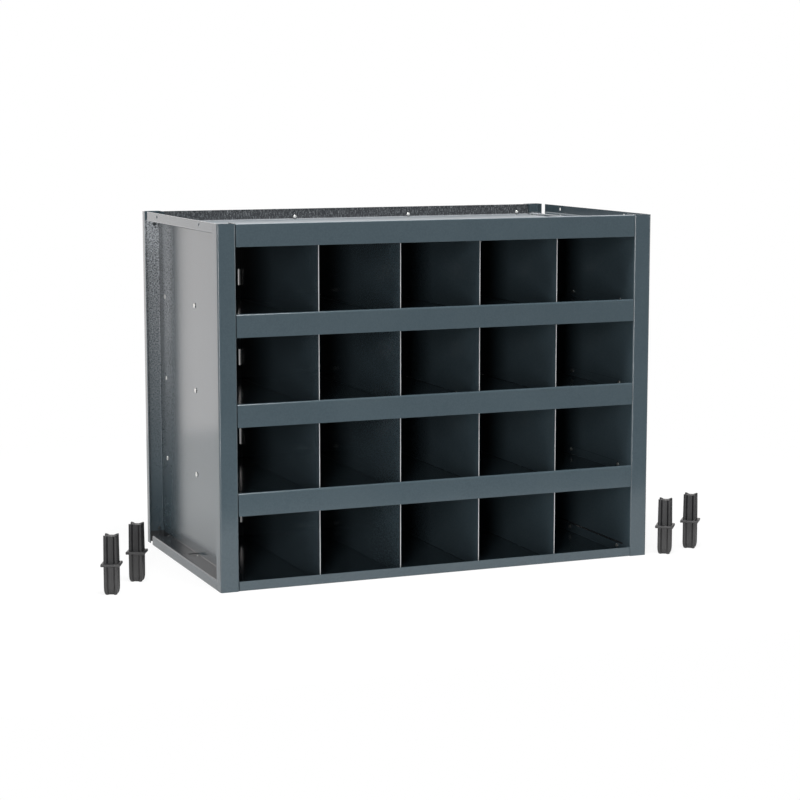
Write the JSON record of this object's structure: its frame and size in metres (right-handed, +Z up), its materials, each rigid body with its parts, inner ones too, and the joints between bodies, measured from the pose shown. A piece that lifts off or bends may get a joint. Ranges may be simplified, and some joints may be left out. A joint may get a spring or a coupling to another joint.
{
  "type": "bin rack",
  "caption": "Open steel bin rack with rows of divided openings, folded front rails, recessed tray sides and top, and loose fluted stacking pins.",
  "frame": {"origin": "on the standing surface, under the middle of the rack's width and depth", "axes": "+X to the right seen from the front, +Y from the open front to the rear, +Z up"},
  "size_m": [0.8399, 0.359, 0.4605],
  "materials": {
    "blue_grey_enamel": "semi-gloss textured enamel on sheet steel",
    "zinc": "bright zinc-plated rivets",
    "charcoal_plastic": "satin moulded plastic"
  },
  "bodies": {
    "root": {"back_panel": "blue_grey_enamel", "bottom_shelf": "blue_grey_enamel", "left_side_panel": "blue_grey_enamel", "middle_shelf_1": "blue_grey_enamel", "middle_shelf_2": "blue_grey_enamel", "middle_shelf_3": "blue_grey_enamel", "right_side_panel": "blue_grey_enamel", "rivet_left_bottom_shelf_front": "zinc", "rivet_left_bottom_shelf_middle": "zinc", "rivet_left_bottom_shelf_rear": "zinc", "rivet_left_middle_shelf_1_front": "zinc", "rivet_left_middle_shelf_1_middle": "zinc", "rivet_left_middle_shelf_1_rear": "zinc", "rivet_left_middle_shelf_2_front": "zinc", "rivet_left_middle_shelf_2_middle": "zinc", "rivet_left_middle_shelf_2_rear": "zinc", "rivet_left_middle_shelf_3_front": "zinc", "rivet_left_middle_shelf_3_middle": "zinc", "rivet_left_middle_shelf_3_rear": "zinc", "rivet_rear_rim_1": "zinc", "rivet_rear_rim_2": "zinc", "rivet_rear_rim_3": "zinc", "rivet_rear_rim_4": "zinc", "rivet_right_bottom_shelf_front": "zinc", "rivet_right_bottom_shelf_middle": "zinc", "rivet_right_bottom_shelf_rear": "zinc", "rivet_right_middle_shelf_1_front": "zinc", "rivet_right_middle_shelf_1_middle": "zinc", "rivet_right_middle_shelf_1_rear": "zinc", "rivet_right_middle_shelf_2_front": "zinc", "rivet_right_middle_shelf_2_middle": "zinc", "rivet_right_middle_shelf_2_rear": "zinc", "rivet_right_middle_shelf_3_front": "zinc", "rivet_right_middle_shelf_3_middle": "zinc", "rivet_right_middle_shelf_3_rear": "zinc", "row_1_divider_1": "blue_grey_enamel", "row_1_divider_2": "blue_grey_enamel", "row_1_divider_3": "blue_grey_enamel", "row_1_divider_4": "blue_grey_enamel", "row_2_divider_1": "blue_grey_enamel", "row_2_divider_2": "blue_grey_enamel", "row_2_divider_3": "blue_grey_enamel", "row_2_divider_4": "blue_grey_enamel", "row_3_divider_1": "blue_grey_enamel", "row_3_divider_2": "blue_grey_enamel", "row_3_divider_3": "blue_grey_enamel", "row_3_divider_4": "blue_grey_enamel", "row_4_divider_1": "blue_grey_enamel", "row_4_divider_2": "blue_grey_enamel", "row_4_divider_3": "blue_grey_enamel", "row_4_divider_4": "blue_grey_enamel", "stacking_pin_left_front": "charcoal_plastic", "stacking_pin_left_rear": "charcoal_plastic", "stacking_pin_right_front": "charcoal_plastic", "stacking_pin_right_rear": "charcoal_plastic", "top_shelf": "blue_grey_enamel"}
  },
  "joints": []
}
